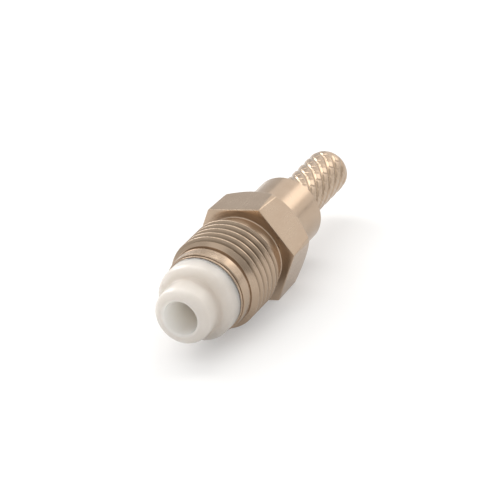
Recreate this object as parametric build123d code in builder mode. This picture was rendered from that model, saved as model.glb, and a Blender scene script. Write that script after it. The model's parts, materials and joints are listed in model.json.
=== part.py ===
from build123d import *
import os
from math import cos, radians

# Coaxial crimp plug: a turned body with a knurled crimp stem, a threaded coupling nut that
# spins on its barrel, a stepped insulator, and the socket contact inside the insulator.
# The plug's axis is X and its nose points to +X. The origin is on the axis, at the front face
# of the body, where the insulator's shoulder seats. +Z is up and one flat of the nut is down.
# All sizes are in millimetres.

# Coupling nut, turned from hexagon bar
thread_d = 7.9  # over the crests of the M8 x 0.75 thread
thread_depth = 0.46
thread_length = 4.58
thread_lead_chamfer = 0.38
hex_margin = 0.05  # how far the flats stand outside the thread's crests
hex_length = 3.55
hex_chamfer_inset = 0.08  # how far the rear chamfer reaches inside the flats
neck_wall = 0.25
neck_length = 1.07
nut_wall = 0.39  # between the thread's root and the bore
nut_clearance = 0.10  # radial, nut on barrel
seat_clearance = 0.04  # radial, the nut's conical seat on the body's taper
nut_setback = 0.45  # from the rim's rear edge to the nut's front face

# Body: rim, taper, barrel and crimp stem in one turned piece
barrel_length = 15.6  # from the stem's shoulder to the front face
barrel_edge = 0.12
barrel_wall = 0.5  # round the insulator
taper_length = 1.95
taper_rise = 0.5  # radial, from the barrel up to the rim
rim_length = 0.89
rim_edge = 0.12
lip_length = 0.26
lip_step = 0.15  # radial, from the rim down to the lip
stem_length = 8.0
stem_wall = 0.5
stem_tip_length = 1.0
stem_tip_wall = 0.08  # metal left at the very end of the tapered tip
stem_root = 1.6  # how far the cable bore goes on inside the barrel
knurl_starts = 10  # grooves in each of the two crossing families
knurl_pitch = 1.19  # along the stem, from one groove to the next
knurl_depth = 0.17
knurl_groove_width = 0.5
knurl_land = 1.05  # plain stretch between the knurl and the barrel
cable_bore_d = 2.7
chamber_step = 0.25  # radial, from the cable bore up to the contact's chamber

# Insulator: shoulder, nose and spigot in one piece
shoulder_step = 0.125  # radial, from the body's lip down to the shoulder
shoulder_length = 1.8
shoulder_round = 0.8
nose_length = 2.2  # in front of the shoulder
nose_step = 0.85  # radial, from the shoulder down to the nose
nose_round = 0.75
pin_entry_d = 2.9
pin_entry_edge = 0.06
spigot_length = 9.8
spigot_clearance = 0.02
spigot_end_gap = 0.2
spigot_edge = 0.3

# Centre contact: slotted socket in front, solder cup behind
contact_d = 1.9
contact_clearance = 0.02
contact_recess = 0.1  # from the entry's floor back to the contact's front face
contact_edge = 0.12
socket_bore_d = 1.0
socket_bore_length = 4.4
socket_slot_width = 0.3
socket_slot_length = 3.2
socket_mouth = 0.15
collar_step = 0.25
collar_length = 0.8
cup_bore_d = 1.1
cup_bore_length = 2.6
cup_end_gap = 0.2
sight_hole_d = 0.7

# Radii and stations that follow from the sizes above
thread_r = thread_d / 2
bore_r = thread_r - thread_depth - nut_wall
neck_r = bore_r + neck_wall
flat_r = thread_r + hex_margin
corner_r = flat_r / cos(radians(30))
barrel_r = bore_r - nut_clearance
rim_r = barrel_r + taper_rise
lip_r = rim_r - lip_step
cable_r = cable_bore_d / 2
stem_r = cable_r + stem_wall
chamber_r = cable_r + chamber_step
cavity_r = barrel_r - barrel_wall
shoulder_r = lip_r - shoulder_step
nose_r = shoulder_r - nose_step
entry_r = pin_entry_d / 2
spigot_r = cavity_r - spigot_clearance
contact_r = contact_d / 2

rim_front_x = -lip_length
rim_rear_x = rim_front_x - rim_length
taper_rear_x = rim_rear_x - taper_length
stem_front_x = -barrel_length
stem_rear_x = stem_front_x - stem_length
cavity_rear_x = -spigot_length - spigot_end_gap
chamber_rear_x = stem_front_x + stem_root
nose_front_x = shoulder_length + nose_length

taper_slope = taper_rise / taper_length
nut_front_x = rim_rear_x - nut_setback
seat_front_r = rim_r - nut_setback * taper_slope + seat_clearance
seat_rear_x = nut_front_x - (seat_front_r - bore_r) / taper_slope
neck_front_x = nut_front_x - thread_length
hex_front_x = neck_front_x - neck_length
hex_rear_x = hex_front_x - hex_length
nut_length = nut_front_x - hex_rear_x

cut_margin = 0.03  # how far above the surface a cutter starts


def corner(section, x, r):
    """The corner of a half section that stands at station x and radius r."""
    return section.vertices().sort_by_distance((x, r))[0]


# Coupling nut: the turned section is cut down to the hexagon bar that it was made from
with BuildPart() as coupling_nut:
    thread_runout = thread_r - neck_r
    hex_chamfer_r = flat_r - hex_chamfer_inset
    blank_r = corner_r + hex_margin
    with BuildSketch(Plane.XZ) as nut_section:
        with BuildLine():
            Polyline(
                (nut_front_x, seat_front_r),
                (nut_front_x, thread_r - thread_lead_chamfer),
                (nut_front_x - thread_lead_chamfer, thread_r),
                (neck_front_x + thread_runout, thread_r),
                (neck_front_x, neck_r),
                (hex_front_x, neck_r),
                (hex_front_x, blank_r),
                (hex_rear_x + blank_r - hex_chamfer_r, blank_r),
                (hex_rear_x, hex_chamfer_r),
                (hex_rear_x, bore_r),
                (seat_rear_x, bore_r),
                close=True,
            )
        make_face()
    revolve(axis=Axis.X)
    with BuildSketch(Plane.YZ.offset(hex_rear_x)):
        RegularPolygon(radius=flat_r, side_count=6, major_radius=False)
    extrude(amount=nut_length, mode=Mode.INTERSECT)

# Body: barrel and crimp stem outside, stepped bore inside
with BuildPart() as body:
    with BuildSketch(Plane.XZ) as body_section:
        with BuildLine():
            Polyline(
                (0, lip_r),
                (rim_front_x, lip_r),
                (rim_front_x, rim_r - rim_edge),
                (rim_front_x - rim_edge, rim_r),
                (rim_rear_x, rim_r),
                (taper_rear_x, barrel_r),
                (stem_front_x + barrel_edge, barrel_r),
                (stem_front_x, barrel_r - barrel_edge),
                (stem_front_x, stem_r),
                (stem_rear_x + stem_tip_length, stem_r),
                (stem_rear_x, cable_r + stem_tip_wall),
                (stem_rear_x, cable_r),
                (chamber_rear_x, cable_r),
                (chamber_rear_x, chamber_r),
                (cavity_rear_x, chamber_r),
                (cavity_rear_x, cavity_r),
                (0, cavity_r),
                close=True,
            )
        make_face()
    revolve(axis=Axis.X)
    # The knurl: two families of helical V grooves that cross and leave diamonds between them
    knurl_front_x = stem_front_x - knurl_land
    knurl_rear_x = stem_rear_x + stem_tip_length
    for lefthand in (False, True):
        with BuildLine() as knurl_path:
            Helix(
                pitch=knurl_starts * knurl_pitch,
                height=knurl_front_x - knurl_rear_x,
                radius=stem_r,
                center=(knurl_rear_x, 0, 0),
                direction=(1, 0, 0),
                lefthand=lefthand,
            )
        start, along = knurl_path.line @ 0, knurl_path.line % 0
        outward = Vector(0, start.Y, start.Z)
        square_to_path = Plane(origin=start, x_dir=outward.cross(along), z_dir=along)
        with BuildSketch(square_to_path, mode=Mode.PRIVATE) as knurl_section:
            with BuildLine():
                half_mouth = knurl_groove_width / 2 * (1 + cut_margin / knurl_depth)
                Polyline((-half_mouth, cut_margin), (0, -knurl_depth), (half_mouth, cut_margin), close=True)
            make_face()
        groove = sweep(knurl_section.sketch, path=knurl_path.line, is_frenet=True, mode=Mode.PRIVATE)
        step = 360 / knurl_starts
        # Half a step between the families ends the knurl between two rows of whole diamonds
        first = step / 2 if lefthand else 0
        turned = [groove.rotate(Axis.X, first + step * start_no) for start_no in range(knurl_starts)]
        add(turned, mode=Mode.SUBTRACT)

# Insulator: the shoulder seats on the body's front face, the spigot fills its cavity
with BuildPart() as insulator:
    with BuildSketch(Plane.XZ) as insulator_section:
        with BuildLine():
            Polyline(
                (nose_front_x, entry_r),
                (nose_front_x, nose_r),
                (shoulder_length, nose_r),
                (shoulder_length, shoulder_r),
                (0, shoulder_r),
                (0, spigot_r),
                (spigot_edge - spigot_length, spigot_r),
                (-spigot_length, spigot_r - spigot_edge),
                (-spigot_length, contact_r + contact_clearance),
                (0, contact_r + contact_clearance),
                (0, entry_r),
                close=True,
            )
        make_face()
        nose_room = nose_r - entry_r - 2 * pin_entry_edge
        fillet(corner(insulator_section, shoulder_length, shoulder_r), radius=shoulder_round)
        fillet(corner(insulator_section, nose_front_x, nose_r), radius=min(nose_round, nose_room))
        chamfer(corner(insulator_section, nose_front_x, entry_r), length=pin_entry_edge)
    revolve(axis=Axis.X)

# Centre contact: its collar seats on the rear of the insulator
with BuildPart() as centre_contact:
    contact_front_x = -contact_recess
    collar_front_x = -spigot_length
    collar_rear_x = collar_front_x - collar_length
    contact_rear_x = chamber_rear_x + cup_end_gap
    collar_r = contact_r + collar_step
    with BuildSketch(Plane.XZ):
        with BuildLine():
            Polyline(
                (contact_front_x, 0),
                (contact_front_x, contact_r - contact_edge),
                (contact_front_x - contact_edge, contact_r),
                (collar_front_x, contact_r),
                (collar_front_x, collar_r),
                (collar_rear_x, collar_r),
                (collar_rear_x, contact_r),
                (contact_rear_x, contact_r),
                (contact_rear_x, 0),
                close=True,
            )
        make_face()
    revolve(axis=Axis.X)
    with Locations(Plane.YZ.offset(contact_front_x)):
        CounterSinkHole(
            radius=socket_bore_d / 2,
            counter_sink_radius=socket_bore_d / 2 + socket_mouth,
            depth=socket_bore_length,
            counter_sink_angle=90,
        )
    with Locations((Plane.ZY).offset(-contact_rear_x)):
        Hole(radius=cup_bore_d / 2, depth=cup_bore_length)
    with BuildSketch(Plane.XY):
        with Locations((contact_front_x - socket_slot_length / 2, 0)):
            Rectangle(socket_slot_length, socket_slot_width)
    extrude(amount=contact_d, both=True, mode=Mode.SUBTRACT)
    with Locations((contact_rear_x + cup_bore_length - sight_hole_d / 2, 0, contact_r)):
        Hole(radius=sight_hole_d / 2, depth=contact_r)

coupling_nut.part.label = "coupling_nut"
body.part.label = "body"
insulator.part.label = "insulator"
centre_contact.part.label = "centre_contact"

os.makedirs("parts", exist_ok=True)
for piece in (coupling_nut, body, insulator, centre_contact):
    export_step(piece.part, f"parts/{piece.part.label}.step")
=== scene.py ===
import json
import math

import bmesh
import bpy
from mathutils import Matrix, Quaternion, Vector

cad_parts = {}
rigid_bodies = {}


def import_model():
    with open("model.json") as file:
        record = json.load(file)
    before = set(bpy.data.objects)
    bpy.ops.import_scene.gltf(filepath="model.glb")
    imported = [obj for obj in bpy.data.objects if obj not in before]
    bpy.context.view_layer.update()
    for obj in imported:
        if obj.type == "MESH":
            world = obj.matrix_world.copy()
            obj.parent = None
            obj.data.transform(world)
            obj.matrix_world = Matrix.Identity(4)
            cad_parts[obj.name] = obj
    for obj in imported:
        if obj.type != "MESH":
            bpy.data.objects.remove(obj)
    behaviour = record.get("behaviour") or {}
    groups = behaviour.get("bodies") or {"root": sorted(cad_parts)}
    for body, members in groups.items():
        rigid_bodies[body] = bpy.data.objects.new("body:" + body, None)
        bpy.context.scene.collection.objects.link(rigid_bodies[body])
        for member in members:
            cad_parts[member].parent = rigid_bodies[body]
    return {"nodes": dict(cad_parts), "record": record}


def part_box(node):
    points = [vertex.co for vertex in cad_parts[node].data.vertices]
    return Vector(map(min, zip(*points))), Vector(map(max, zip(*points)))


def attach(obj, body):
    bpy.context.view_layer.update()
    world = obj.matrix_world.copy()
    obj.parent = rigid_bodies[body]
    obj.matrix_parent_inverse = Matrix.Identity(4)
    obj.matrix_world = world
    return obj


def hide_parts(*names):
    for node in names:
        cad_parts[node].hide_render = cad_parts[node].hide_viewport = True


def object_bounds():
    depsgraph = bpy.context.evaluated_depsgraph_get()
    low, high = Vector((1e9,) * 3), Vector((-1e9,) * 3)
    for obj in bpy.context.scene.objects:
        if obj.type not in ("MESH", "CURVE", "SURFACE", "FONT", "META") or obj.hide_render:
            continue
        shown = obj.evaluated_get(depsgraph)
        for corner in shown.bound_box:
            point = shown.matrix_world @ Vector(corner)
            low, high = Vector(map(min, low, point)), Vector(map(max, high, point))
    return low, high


# Coaxial crimp plug lying on one flat of its nut. The nut, body and insulator are laid out ring
# by ring round the plug's axis, X. Sizes are in millimetres until a mesh is made.

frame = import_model()
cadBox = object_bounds()
print("frame loaded:", ", ".join(sorted(frame["nodes"])))

mm = 0.001
fullTurn = 2 * math.pi


def nodeBox(node):  # lowest and highest corner of a CAD node
    low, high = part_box(node)
    return low / mm, high / mm


def mountOf(name):  # a mount's radius and where it stands along the axis
    mount = next(m for m in frame["record"]["mounts"] if m["name"] == name)
    return mount["dims"]["r_mm"], mount["pos_m"][0] / mm


# Tools for turned shapes

meshLook = {
    "weldDistance": 1e-4,  # points nearer than this become one
    "sharpAngle": 38,  # degrees between two faces, from which their edge stays sharp
    "flatWeight": 80,  # how firmly the large faces lead the shading
}


# Corners of a half section are (x, r) or (x, r, softness): a soft corner becomes a small arc
def softSection(corners, steps=4):
    points = []
    for i, corner in enumerate(corners):
        inside = 0 < i < len(corners) - 1
        if len(corner) == 2 or not inside:
            points.append(tuple(corner[:2]))
            continue
        here, softness = Vector(corner[:2]), corner[2]
        before = (Vector(corners[i - 1][:2]) - here).normalized()
        after = (Vector(corners[i + 1][:2]) - here).normalized()
        halfAngle = before.angle(after) / 2
        reach = softness / math.tan(halfAngle)
        centre = here + (before + after).normalized() * (softness / math.sin(halfAngle))
        first, last = here + before * reach - centre, here + after * reach - centre
        for step in range(steps + 1):
            way = first.lerp(last, step / steps).normalized() * softness
            points.append(tuple(centre + way))
    return points


def turned(points, angles):  # the same point at every angle
    return [[point] * len(angles) for point in points]


def evenAngles(count):
    return [fullTurn * i / count for i in range(count)]


# Rings of (x, r) points become a closed solid of revolution, with one material slot for each.
# Where the circle closes, a thread's rows (first, last, how many to a pitch) are joined to those
# one pitch before them. A knurl's quads, from first to last row, are split along its grooves.
def ringMesh(name, rings, angles, slots=(), threadRows=None, knurlRows=None):
    columns = len(angles)
    corners = []
    for ring in rings:
        for (x, r), angle in zip(ring, angles):
            corners.append((x * mm, r * mm * math.cos(angle), r * mm * math.sin(angle)))
    faces, faceSlots = [], []
    for row in range(len(rings)):
        below = (row + 1) % len(rings)
        for column in range(columns):
            across = (column + 1) % columns
            rowAcross, belowAcross = row, below
            if threadRows and across == 0 and threadRows[0] <= row < threadRows[1]:
                rowAcross = max(row - threadRows[2], threadRows[0])
                belowAcross = max(below - threadRows[2], threadRows[0])
            a, b = row * columns + column, rowAcross * columns + across
            c, d = belowAcross * columns + across, below * columns + column
            if knurlRows and knurlRows[0] <= row < knurlRows[1]:
                ra, rb = rings[row][column][1], rings[row][across][1]
                rc, rd = rings[below][across][1], rings[below][column][1]
                along = abs(ra - rc) <= abs(rb - rd)
                made = [(a, b, c), (a, c, d)] if along else [(a, b, d), (b, c, d)]
            else:
                made = [(a, b, c, d)]
            faces += made
            faceSlots += [slots[row] if slots else 0] * len(made)
    mesh = bpy.data.meshes.new(name)
    mesh.from_pydata(corners, [], faces)
    mesh.polygons.foreach_set("material_index", faceSlots)
    shape = bmesh.new()
    shape.from_mesh(mesh)
    bmesh.ops.remove_doubles(shape, verts=shape.verts, dist=meshLook["weldDistance"] * mm)
    bmesh.ops.recalc_face_normals(shape, faces=shape.faces)
    shape.to_mesh(mesh)
    shape.free()
    mesh.shade_smooth()
    mesh.set_sharp_from_angle(angle=math.radians(meshLook["sharpAngle"]))
    piece = bpy.data.objects.new(name, mesh)
    bpy.context.scene.collection.objects.link(piece)
    flatness = piece.modifiers.new("flat faces stay flat", "WEIGHTED_NORMAL")
    flatness.keep_sharp = True
    flatness.weight = meshLook["flatWeight"]
    return piece


# Materials


# Sets a node's inputs: each is a constant, or is linked to the output of another node
def setInputs(node, inputs):
    for key, value in inputs.items():
        if isinstance(value, bpy.types.NodeSocket):
            node.id_data.links.new(value, node.inputs[key])
        else:
            node.inputs[key].default_value = value


def addNode(tree, kind, inputs=None, **settings):
    node = tree.nodes.new(kind)
    for key, value in settings.items():
        setattr(node, key, value)
    setInputs(node, inputs or {})
    return node


def nodeMaterial(name):
    material = bpy.data.materials.new(name)
    material.use_nodes = True
    return material, material.node_tree, material.node_tree.nodes["Principled BSDF"]


def opaque(colour):
    return (*colour, 1)


def arithmetic(tree, operation, first, second):
    return addNode(tree, "ShaderNodeMath", {0: first, 1: second}, operation=operation).outputs[0]


def vectorMath(tree, operation, inputs):
    return addNode(tree, "ShaderNodeVectorMath", inputs, operation=operation)


def mixColours(tree, factor, first, second):
    inputs = {"Factor": factor, "A": first, "B": second}
    return addNode(tree, "ShaderNodeMix", inputs, data_type="RGBA").outputs["Result"]


def rangeOf(tree, source, low, high, atLow, atHigh, **settings):  # a value's range, turned into another
    inputs = {"Value": source, "From Min": low, "From Max": high, "To Min": atLow, "To Max": atHigh}
    return addNode(tree, "ShaderNodeMapRange", inputs, **settings).outputs["Result"]


def spread(tree, source, low, high):  # a noise's middle range, spread between two values
    return rangeOf(tree, source, 0.3, 0.7, low, high)


def noise(tree, place, scale, detail, roughness):
    inputs = {"Vector": place, "Scale": scale, "Detail": detail, "Roughness": roughness}
    return addNode(tree, "ShaderNodeTexNoise", inputs).outputs["Fac"]


def bump(tree, height, strength, depth):  # the depth in millimetres
    inputs = {"Height": height, "Strength": strength, "Distance": depth * mm}
    return addNode(tree, "ShaderNodeBump", inputs).outputs[0]


# The place on the surface in millimetres: the point, how far along the axis, and how far from it
def axisPlace(tree):
    place = addNode(tree, "ShaderNodeTexCoord").outputs["Object"]
    place = vectorMath(tree, "SCALE", {0: place, "Scale": 1 / mm}).outputs[0]
    along = addNode(tree, "ShaderNodeSeparateXYZ", {0: place}).outputs["X"]
    outward = vectorMath(tree, "MULTIPLY", {0: place, 1: (0, 1, 1)}).outputs[0]
    return place, along, vectorMath(tree, "LENGTH", {0: outward}).outputs["Value"]


# Noises are scale, detail and roughness. Scales are per millimetre: a higher one is finer.
platedLook = {
    "colour": (0.425, 0.323, 0.237),
    "paleColour": (0.455, 0.353, 0.265),
    "roughness": (0.20, 0.26),
    "stains": (0.7, 4, 0.6),
    "marks": (1, 3, 0.65),
    "turnedScale": 14,  # of the marks on turned faces
    "drawnScale": (0.6, 9, 9),  # of the marks on drawn faces, along the axis and across it
    "markDepth": 0.0006,
    "markStrength": 0.35,
    "drawnShare": 0.3,  # of that depth, on drawn faces
    "markRoughness": (-0.03, 0.05),  # what the marks add to the roughness
}

# Painted light: a paler copy of the plate for the hexagon's front face and neck, lifting the shade they
# mirror; its higher roughness is the faced surface's own
facedLookPaintedLighter = {
    **platedLook,
    "colour": (0.50, 0.385, 0.285),
    "paleColour": (0.53, 0.41, 0.31),
    "roughness": (0.27, 0.34),
}

goldLook = {
    **platedLook,
    "colour": (0.78, 0.52, 0.20),
    "paleColour": (0.86, 0.62, 0.30),
    "roughness": (0.18, 0.30),
    "stains": (1.5, 4, 0.6),
    "markDepth": 0.001,
}

# Painted shade in the grooves: a dark colour that fades out from the bottom's radius to the top's,
# and at both ends along the axis
threadGrooveShade = {
    "colour": (0.17, 0.12, 0.076),
    "bottom": 3.58,
    "top": 3.84,
    "rear": -6.25,
    "front": -2.0,
    "endFade": 0.05,
}

# Painted shade in the knurl's grooves, paler than in the thread
knurlGrooveShade = {
    "colour": (0.35, 0.26, 0.17),
    "bottom": 1.72,
    "top": 1.81,
    "rear": -22.75,
    "front": -16.4,
    "endFade": 0.05,
}


# Mask of the painted groove shade: full at a groove's bottom, none at its top
def paintGrooveShade(tree, along, radius, groove):
    grooveShade = rangeOf(tree, radius, groove["bottom"], groove["top"], 1, 0)
    for end, inwards in ((groove["rear"], groove["endFade"]), (groove["front"], -groove["endFade"])):
        within = rangeOf(tree, along, end, end + inwards, 0, 1)
        grooveShade = arithmetic(tree, "MULTIPLY", grooveShade, within)
    return grooveShade


# Thin plate over brass: soft stains, and fine marks left by the tool. On turned faces the marks
# run round the axis, and on the hexagon's drawn flats they run along it.
def platedMetal(name, look, drawn=False, groove=None):
    material, tree, shader = nodeMaterial(name)
    place, along, radius = axisPlace(tree)
    stain = noise(tree, place, *look["stains"])
    if drawn:
        markPlace = vectorMath(tree, "MULTIPLY", {0: place, 1: look["drawnScale"]}).outputs[0]
    else:
        wound = {
            "X": arithmetic(tree, "MULTIPLY", along, look["turnedScale"]),
            "Y": arithmetic(tree, "MULTIPLY", radius, look["turnedScale"]),
        }
        markPlace = addNode(tree, "ShaderNodeCombineXYZ", wound).outputs[0]
    marks = noise(tree, markPlace, *look["marks"])
    colour = mixColours(tree, spread(tree, stain, 0, 1), opaque(look["colour"]), opaque(look["paleColour"]))
    # Painted shade darkens the bottoms of the given grooves
    if groove:
        colour = mixColours(tree, paintGrooveShade(tree, along, radius, groove), colour, opaque(groove["colour"]))
    stained = spread(tree, stain, *look["roughness"])
    marked = spread(tree, marks, *look["markRoughness"])
    depth = look["markDepth"] * (look["drawnShare"] if drawn else 1)
    setInputs(shader, {
        "Base Color": colour,
        "Metallic": 1,
        "Roughness": arithmetic(tree, "ADD", stained, marked),
        "Normal": bump(tree, marks, look["markStrength"], depth),
    })
    return material


waxyLook = {
    "colour": (0.70, 0.63, 0.56),
    "paleColour": (0.74, 0.67, 0.605),
    "holeColour": (1.0, 0.91, 0.82),
    "holeRadii": (1.47, 1.72),  # between which the hole's painted light fades out
    "roughness": (0.17, 0.25),
    "clouds": (0.9, 5, 0.55),
    "grain": (14, 3, 0.6),
    "grainDepth": 0.002,
    "grainStrength": 0.3,
    "lightDepth": 4.0,  # how far light spreads inside it
    "refraction": 1.48,
}


# The insulator's waxy white plastic: light goes a little way in, and the surface is faintly grained. Inside
# the pin entry its colour is painted paler, as painted light against the hole's shade.
def waxyPlastic(name, look):
    material, tree, shader = nodeMaterial(name)
    place, _, radius = axisPlace(tree)
    cloud = noise(tree, place, *look["clouds"])
    grain = noise(tree, place, *look["grain"])
    cloudy = mixColours(tree, spread(tree, cloud, 0, 1), opaque(look["colour"]), opaque(look["paleColour"]))
    # Painted light: the hole's wall is painted paler than the rest of the plastic
    holeLightMask = rangeOf(tree, radius, *look["holeRadii"], 1, 0)
    setInputs(shader, {
        "Base Color": mixColours(tree, holeLightMask, cloudy, opaque(look["holeColour"])),
        "Roughness": spread(tree, cloud, *look["roughness"]),
        "Normal": bump(tree, grain, look["grainStrength"], look["grainDepth"]),
        "Subsurface Weight": 1,
        "Subsurface Radius": (1, 1, 1),
        "Subsurface Scale": look["lightDepth"] * mm,
        "IOR": look["refraction"],
    })
    return material


threadMetal = platedMetal("threaded nickel plate", platedLook, groove=threadGrooveShade)
turnedMetal = platedMetal("turned nickel plate", platedLook, groove=knurlGrooveShade)
drawnMetal = platedMetal("drawn nickel plate", platedLook, drawn=True)
facedMetalPaintedLighter = platedMetal("faced nickel plate", facedLookPaintedLighter)
goldPlate = platedMetal("gold plate", goldLook)
whitePlastic = waxyPlastic("waxy white plastic", waxyLook)
print("materials made")

# Coupling nut

nutLook = {
    "pitch": 0.75,
    "crestFlat": 0.15,
    "flankAngle": 30,  # degrees, from square to the axis
    "threadDepth": 0.46,
    "crestSoftness": 0.07,
    "rootSoftness": 0.05,
    "leadChamfer": 0.38,  # 45 degrees
    "threadLength": 4.58,
    "neckRadius": 3.35,
    "neckLength": 1.07,
    "neckFillet": 0.10,
    "hexEdge": 0.035,  # softness of the hexagon's edges
    "cornerSoftness": 0.05,
    "cornerFall": 0.13,  # how much lower the bar's corners are at the rear than in front
    "flatRows": (0.1, 0.25, 0.4, 0.55, 0.7, 0.82),  # rows on the flats, as shares of their length
    "chamferFrom": 0.85,  # the share at which the rear chamfer meets the corners
    "rearInset": 0.08,  # how far the rear chamfer starts inside the flats
    "rearSoftness": 0.02,
    "boreRadius": 3.10,
    "boreEdge": 0.15,
    "mouthRadius": 3.425,
    "seatRise": 1.266,  # length of the conical seat behind the mouth
    "columns": 180,
    "cornerColumns": 12,  # extra ones on each side of a corner
    "cornerStep": 0.25,  # degrees between them
}


# Even columns, and finer ones round the hexagon's corners
def nutAngles(look):
    angles = set(round(a, 5) for a in evenAngles(look["columns"]))
    for corner in range(6):
        for offset in range(-look["cornerColumns"], look["cornerColumns"] + 1):
            angles.add(round(math.radians(60 * corner + offset * look["cornerStep"]) % fullTurn, 5))
    return sorted(angles)


# Radius of the hexagon bar at an angle, with its six corners slightly rounded
def hexRadius(angle, flatRadius, softness):
    fromCorner = math.radians((math.degrees(angle) + 30) % 60 - 30)
    halfFlat = math.radians(30)
    roundedTo = halfFlat - math.atan((flatRadius - softness) * math.tan(halfFlat) / flatRadius)
    if abs(fromCorner) < roundedTo:
        centre = (flatRadius - softness) / math.cos(halfFlat)
        return centre * math.cos(fromCorner) + math.sqrt(softness ** 2 - (centre * math.sin(fromCorner)) ** 2)
    return flatRadius / math.cos(halfFlat - abs(fromCorner))


# One pitch of the thread, as how far the surface drops below the crest
def threadProfile(look):
    crest, pitch, depth = look["crestFlat"], look["pitch"], look["threadDepth"]
    flank = depth * math.tan(math.radians(look["flankAngle"]))
    bends = [
        (-crest / 2 - flank, depth, look["rootSoftness"]),
        (-crest / 2, 0, look["crestSoftness"]),
        (crest / 2, 0, look["crestSoftness"]),
        (crest / 2 + flank, depth, look["rootSoftness"]),
    ]
    before, after = (crest / 2 + flank - pitch, depth), (pitch - crest / 2 - flank, depth)
    points = softSection([before, *bends, after], 3)
    return [p for p in points if -pitch / 2 <= p[0] < pitch / 2]


# The drop at any place along the thread, from one pitch with a point of the next at each end
def dropAt(place, closedProfile, pitch):
    place = (place + pitch / 2) % pitch - pitch / 2
    pairs = zip(closedProfile, closedProfile[1:])
    before, after = next(pair for pair in pairs if pair[1][0] > place)
    share = (place - before[0]) / (after[0] - before[0])
    return before[1] + (after[1] - before[1]) * share


# The thread's rows follow the helix, and stop at the nut's front and at the neck
def threadRings(look, profile, crestRadius, front, neckFront, angles):
    pitch = look["pitch"]
    (firstX, firstDrop), (lastX, lastDrop) = profile[0], profile[-1]
    closedProfile = [(lastX - pitch, lastDrop), *profile, (firstX + pitch, firstDrop)]
    rings = []
    for turn in range(-1, math.ceil(look["threadLength"] / pitch) + 2):
        for offset, _ in profile:
            row = []
            for angle in angles:
                lead = pitch * angle / fullTurn
                x = min(max(front - turn * pitch - offset + lead - pitch / 2, neckFront), front)
                chamfer = crestRadius - look["leadChamfer"] + front - x
                runout = look["neckRadius"] + x - neckFront
                drop = dropAt(front + lead - pitch / 2 - x, closedProfile, pitch)
                row.append((x, min(crestRadius, chamfer, runout, crestRadius - drop)))
            rings.append(row)
    return rings


def couplingNut(look):
    low, high = nodeBox("coupling_nut")
    flatRadius, rear, front = high.z, low.x, high.x
    neckFront = front - look["threadLength"]
    hexFront = neckFront - look["neckLength"]
    neckRadius, boreRadius, edge = look["neckRadius"], look["boreRadius"], look["hexEdge"]
    angles = nutAngles(look)
    bar = [hexRadius(a, flatRadius, look["cornerSoftness"]) for a in angles]

    seat = turned([(front - look["seatRise"], boreRadius), (front, look["mouthRadius"])], angles)
    profile = threadProfile(look)
    thread = threadRings(look, profile, mountOf("coupling_thread")[0], front, neckFront, angles)
    neck = turned(softSection([
        (neckFront, neckRadius),
        (neckFront - 0.02, neckRadius),
        (hexFront, neckRadius, look["neckFillet"]),
        (hexFront, flatRadius - 0.1),
    ])[1:], angles)

    frontEdge = []
    for step in range(4):
        turn = math.radians(30 * step)
        back, inwards = edge * (1 - math.cos(turn)), edge * (1 - math.sin(turn))
        frontEdge.append([(hexFront - back, r - inwards) for r in bar])
    cornerRadius = flatRadius / math.cos(math.radians(30))
    flats = []
    for share in look["flatRows"]:
        blunt = cornerRadius - look["cornerFall"] * share
        flats.append([(hexFront + (rear - hexFront) * share, min(r, blunt)) for r in bar])

    # The rear chamfer's cone meets the bar further forward at the corners, so it ends in arcs
    chamferRadius = flatRadius - look["rearInset"]
    bar = [min(r, cornerRadius - look["chamferFrom"] * look["cornerFall"]) for r in bar]
    crossing = [rear + r - chamferRadius for r in bar]
    rearEnd = []
    for share in (0, 0.33, 0.67, 1):
        toFlat, toChamfer = edge * (1 - share) ** 2, edge * share ** 2 * 0.7
        rearEnd.append([(x + toFlat - toChamfer, r - toChamfer) for x, r in zip(crossing, bar)])
    rearEnd += turned(softSection([
        (rear + 0.05, chamferRadius + 0.05),
        (rear, chamferRadius, look["rearSoftness"]),
        (rear, boreRadius + look["boreEdge"], look["rearSoftness"]),
        (rear + look["boreEdge"], boreRadius, look["rearSoftness"]),
        (rear + look["boreEdge"] + 0.1, boreRadius),
    ], 2), angles)

    # Each band of rings with its metal: 0 turned and threaded, with painted groove shade, 1 drawn, 2 faced
    # and painted lighter
    bands = [(seat + thread, 0), (neck + frontEdge[:-1], 2), (frontEdge[-1:] + flats, 1), (rearEnd, 0)]
    rings = [ring for band, _ in bands for ring in band]
    slots = [slot for band, slot in bands for _ in band]
    threadRows = (len(seat), len(seat) + len(thread) - 1, len(profile))
    nut = ringMesh("nut", rings, angles, slots, threadRows=threadRows)
    for metal in (threadMetal, drawnMetal, facedMetalPaintedLighter):
        nut.data.materials.append(metal)
    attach(nut, "nut")
    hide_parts("coupling_nut")
    print("coupling nut:", len(nut.data.polygons), "faces")


couplingNut(nutLook)

# Body

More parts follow.
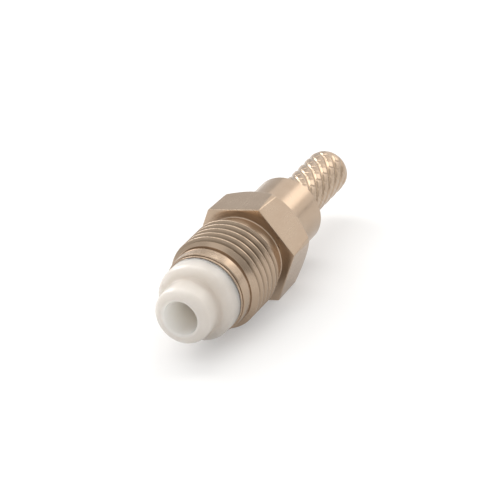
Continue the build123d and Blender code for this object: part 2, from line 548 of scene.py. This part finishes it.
bodyLook = {
    "lipRadius": 3.35,
    "frontX": -0.15,
    "lipLength": 0.22,
    "rimLength": 0.95,
    "rimEdge": 0.12,
    "rimSlope": 0.05,  # how much lower the rim is in front
    "rimSoftness": 0.05,  # of its rear edge
    "taperLength": 1.95,
    "taperSoftness": 0.4,  # where the taper runs into the barrel
    "barrelRadius": 3.0,
    "barrelEdge": 0.12,
    "barrelLength": 15.6,
    "rootRing": 0.2,  # how far behind the barrel a ring keeps the stem's root crisp
    "knurlLand": 1.05,  # plain stem in front of the knurl
    "tipLength": 1.0,
    "tipWall": 0.08,
    "tipPower": 2.4,  # a higher one makes the dome blunter
    "tipRows": (0.24, 0.16, 0.1, 0.05, 0.02),  # from the very end
    "knurlStarts": 10,
    "knurlPitch": 1.19,
    "knurlAngle": 45,  # degrees between a groove and the axis, nearly
    "knurlDepths": (0.042, 0.09),  # right-hand and left-hand grooves
    "grooveWidths": (0.28, 0.48),
    "grooveVee": 0.6,  # the share of a groove's section that is a plain V, the rest is rounded
    "frontOverrun": 0.12,  # how far the grooves run past the knurl's front
    "frontFade": 0.25,  # length over which they fade out there
    "rearFade": 0.7,  # and on the tip
    "cavityRadius": 2.5,
    "cavityRear": -10.0,
    "chamberRadius": 1.6,
    "chamberRear": -14.0,
    "softness": 0.03,
    "boreSoftness": 0.02,
    "finePerStep": 12,  # grid cells between one groove crossing and the next, half a step away
    "gridAhead": 0.2,  # how far in front of the knurl the grid starts
}


# How deep the deepest groove is at a place on the stem
def knurlDrop(x, angle, rearX, frontX, look):
    step = fullTurn / look["knurlStarts"]
    pitch, vee = look["knurlPitch"], look["grooveVee"]
    drop = 0
    for hand, start, depth, width in zip((1, -1), (0, step / 2), look["knurlDepths"], look["grooveWidths"]):
        turns = (x - rearX) / pitch - hand * (angle - start) / step
        away = abs((turns + 0.5) % 1 - 0.5) * pitch * math.cos(math.radians(look["knurlAngle"]))
        into = max(0, 1 - away / (width / 2))
        drop = max(drop, depth * into * (vee + (1 - vee) * into * (3 - 2 * into)))
    inFront = (frontX + look["frontOverrun"] - x) / look["frontFade"]
    behind = (x - rearX + look["rearFade"]) / look["rearFade"]
    return drop * min(1, max(0, inFront), max(0, behind))


def plugBody(look):
    low, high = nodeBox("body")
    front, rear, rimRadius = look["frontX"], low.x, high.z
    stemRadius = mountOf("crimp_stem")[0]
    cableRadius = mountOf("cable_bore")[0]
    soft, boreSoft = look["softness"], look["boreSoftness"]
    rimFront = front - look["lipLength"]
    rimRear = rimFront - look["rimLength"]
    rimFrontRadius = rimRadius - look["rimSlope"]
    stemFront = high.x - look["barrelLength"]
    knurlFront = stemFront - look["knurlLand"]
    knurlRear = rear + look["tipLength"]
    edge, barrel = look["barrelEdge"], look["barrelRadius"]
    angles = evenAngles(2 * look["knurlStarts"] * look["finePerStep"])

    outside = turned(softSection([
        (front, look["cavityRadius"]),
        (front, look["lipRadius"], 2 * soft),
        (rimFront, look["lipRadius"], soft),
        (rimFront, rimFrontRadius - look["rimEdge"], soft),
        (rimFront - look["rimEdge"], rimFrontRadius, soft),
        (rimRear, rimRadius, look["rimSoftness"]),
        (rimRear - look["taperLength"], barrel, look["taperSoftness"]),
        (stemFront + edge, barrel, soft),
        (stemFront, barrel - edge, soft),
        (stemFront, stemRadius, soft),
        (stemFront - look["rootRing"], stemRadius),
    ]), angles)

    tipRadius = cableRadius + look["tipWall"]

    def stemAt(x):  # the stem's radius, with the tip drawn in to a dome
        share = min(1, max(0, knurlRear - x) / look["tipLength"])
        return tipRadius + (stemRadius - tipRadius) * math.sqrt(1 - share ** look["tipPower"])

    # The knurled stem, on a grid whose diagonals follow both families of grooves
    cell = look["knurlPitch"] / 2 / look["finePerStep"]
    firstCell = round((knurlFront - knurlRear) / cell) + math.floor(look["gridAhead"] / cell)
    lastCell = -math.floor(look["rearFade"] / cell)
    knurl = []
    for row in range(firstCell, lastCell - 1, -1):
        x = knurlRear + row * cell
        plain = stemAt(x)
        knurl.append([(x, plain - knurlDrop(x, a, knurlRear, knurlFront, look)) for a in angles])

    inside = turned(softSection([
        *[(rear + x, stemAt(rear + x)) for x in look["tipRows"]],
        (rear, tipRadius),
        (rear, cableRadius, boreSoft),
        (look["chamberRear"], cableRadius, boreSoft),
        (look["chamberRear"], look["chamberRadius"], boreSoft),
        (look["cavityRear"], look["chamberRadius"], boreSoft),
        (look["cavityRear"], look["cavityRadius"], boreSoft),
        (front - 0.1, look["cavityRadius"]),
    ], 2), angles)

    knurlRows = (len(outside), len(outside) + len(knurl) - 1)
    body = ringMesh("turned_body", outside + knurl + inside, angles, knurlRows=knurlRows)
    body.data.materials.append(turnedMetal)
    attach(body, "plug")
    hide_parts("body")
    print("body:", len(body.data.polygons), "faces")


plugBody(bodyLook)

# Insulator and centre contact

insulatorLook = {
    "seatX": -0.15,
    "seatSoftness": 0.02,  # of the shoulder's rear edge
    "shoulderEnd": 1.614,
    "shoulderRound": 0.8,
    "shoulderRadius": 3.28,
    "rootX": 1.85,  # where the nose rises from the shoulder
    "noseRoot": 0.385,  # softness of the hollow there
    "noseRadius": 2.40,
    "noseRound": 0.70,
    "entryRound": 0.24,
    "floorSoftness": 0.1,  # where the pin entry meets its floor
    "spigotRadius": 2.48,
    "spigotEdge": 0.3,
    "contactHole": 0.97,
    "softness": 0.03,
    "columns": 160,
}


def insulatorPiece(look):
    low, high = nodeBox("insulator")
    rear, front, soft = low.x, high.x, look["softness"]
    entryRadius, floorX = mountOf("pin_entry")
    shoulderRadius, noseRadius = look["shoulderRadius"], look["noseRadius"]
    spigotRadius, spigotEdge = look["spigotRadius"], look["spigotEdge"]
    angles = evenAngles(look["columns"])
    section = softSection([
        (look["seatX"], spigotRadius),
        (look["seatX"], shoulderRadius, look["seatSoftness"]),
        (look["shoulderEnd"], shoulderRadius, look["shoulderRound"]),
        (look["rootX"], noseRadius, look["noseRoot"]),
        (front, noseRadius, look["noseRound"]),
        (front, entryRadius, look["entryRound"]),
        (floorX, entryRadius, look["floorSoftness"]),
        (floorX, look["contactHole"], soft),
        (rear, look["contactHole"], soft),
        (rear, spigotRadius - spigotEdge, soft),
        (rear + spigotEdge, spigotRadius, soft),
        (rear + 2 * spigotEdge, spigotRadius),
    ], 12)
    piece = ringMesh("insulator_moulding", turned(section, angles), angles)
    piece.data.materials.append(whitePlastic)
    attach(piece, "plug")
    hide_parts("insulator")
    print("insulator:", len(piece.data.polygons), "faces")


insulatorPiece(insulatorLook)

contact = frame["nodes"]["centre_contact"]
contact.data.materials.clear()
contact.data.materials.append(goldPlate)
print("centre contact plated")

# Floor

floorLook = {
    "size": 4.0,  # metres
    "gap": 0.005,  # below the plug
    "colour": (0.60, 0.595, 0.59),
    "roughness": 0.9,
    "specular": 0.1,
    "glow": 0.33,
}

floorMesh = bpy.data.meshes.new("floor")
reach = floorLook["size"] / 2
floorHeight = cadBox[0].z - floorLook["gap"] * mm
quarters = ((-reach, -reach), (reach, -reach), (reach, reach), (-reach, reach))
floorMesh.from_pydata([(x, y, floorHeight) for x, y in quarters], [], [(0, 1, 2, 3)])
floor = bpy.data.objects.new("floor", floorMesh)
bpy.context.scene.collection.objects.link(floor)

# The pale card glows a little, for the camera and for what mirrors or lets through the background
paleCard, cardTree, cardShader = nodeMaterial("pale card")
lightPath = addNode(cardTree, "ShaderNodeLightPath")
seen = lightPath.outputs["Is Camera Ray"]
for other in ("Is Glossy Ray", "Is Transmission Ray"):
    seen = arithmetic(cardTree, "MAXIMUM", seen, lightPath.outputs[other])
setInputs(cardShader, {
    "Base Color": opaque(floorLook["colour"]),
    "Roughness": floorLook["roughness"],
    "Specular IOR Level": floorLook["specular"],
    "Emission Color": (1, 1, 1, 1),
    "Emission Strength": arithmetic(cardTree, "MULTIPLY", seen, floorLook["glow"]),
})
floorMesh.materials.append(paleCard)
print("floor laid")

# Light

studioLook = {
    "worldColour": (1.0, 0.995, 0.985),
    "worldStrength": (0.44, 0.82),  # on the dim side and on the bright side
    "brightSide": (290, 45),
    "facingRange": (-0.9, 0.5),  # cosines to the bright side, between which the strength grows
    "lampDistance": 0.4,  # metres
}


def towards(azimuth, elevation):  # azimuth 0 is on the -Y side
    a, e = math.radians(azimuth), math.radians(elevation)
    return Vector((math.sin(a) * math.cos(e), -math.cos(a) * math.cos(e), math.sin(e)))


# The room: pale behind the plug and overhead, dimmer where the camera stands
world = bpy.data.worlds.new("studio")
world.use_nodes = True
roomTree = world.node_tree
direction = addNode(roomTree, "ShaderNodeTexCoord").outputs["Generated"]
brightSide = towards(*studioLook["brightSide"])
facing = vectorMath(roomTree, "DOT_PRODUCT", {0: direction, 1: brightSide}).outputs["Value"]
strength = rangeOf(roomTree, facing, *studioLook["facingRange"], *studioLook["worldStrength"],
                   interpolation_type="SMOOTHSTEP")
setInputs(roomTree.nodes["Background"], {"Color": opaque(studioLook["worldColour"]), "Strength": strength})
bpy.context.scene.world = world


# A soft box of a given brightness, as wide as it looks from the plug in degrees
def softBox(name, azimuth, elevation, width, height, brightness, colour=(1, 1, 1)):
    distance = studioLook["lampDistance"]
    lamp = bpy.data.lights.new(name, "AREA")
    lamp.shape = "RECTANGLE"
    lamp.size = 2 * distance * math.tan(math.radians(width / 2))
    lamp.size_y = 2 * distance * math.tan(math.radians(height / 2))
    lamp.energy = brightness * math.pi * lamp.size * lamp.size_y
    lamp.color = colour
    box = bpy.data.objects.new(name, lamp)
    box.location = towards(azimuth, elevation) * distance
    box.rotation_mode = "QUATERNION"
    box.rotation_quaternion = towards(azimuth, elevation).to_track_quat("Z", "Y")
    bpy.context.scene.collection.objects.link(box)


softBox("key light", 245, 29, 22, 20, 1.3, (1.0, 0.965, 0.92))
softBox("wide key light", 252, 25, 72, 40, 0.48, (1.0, 0.97, 0.93))
softBox("back left light", 330, 36, 24, 32, 4.6)
softBox("high back light", 286, 64, 46, 20, 2.6, (1.0, 0.985, 0.96))
softBox("front light", 95, 10, 40, 30, 0.45, (1.0, 0.965, 0.92))
softBox("top light", 120, 82, 60, 60, 0.3)
print("studio lit")

# Camera

cameraLook = {
    "target": (-8.256, 0.101, -0.028),
    "azimuth": 121.61,
    "elevation": 23.03,
    "roll": -12.74,
    "distance": 307.2,
    "lens": 276.14,
    "sensor": 36,
    "clip": (0.01, 10),  # metres
}
cameraData = bpy.data.cameras.new("camera")
cameraData.sensor_width = cameraLook["sensor"]
cameraData.lens = cameraLook["lens"]
cameraData.clip_start, cameraData.clip_end = cameraLook["clip"]
camera = bpy.data.objects.new("camera", cameraData)
bpy.context.scene.collection.objects.link(camera)
back = towards(cameraLook["azimuth"], cameraLook["elevation"])
camera.location = (Vector(cameraLook["target"]) + back * cameraLook["distance"]) * mm
camera.rotation_mode = "QUATERNION"
roll = Quaternion((0, 0, 1), math.radians(cameraLook["roll"]))
camera.rotation_quaternion = (-back).to_track_quat("-Z", "Y") @ roll
bpy.context.scene.camera = camera
bpy.context.scene.view_settings.view_transform = "Standard"
print("camera set")
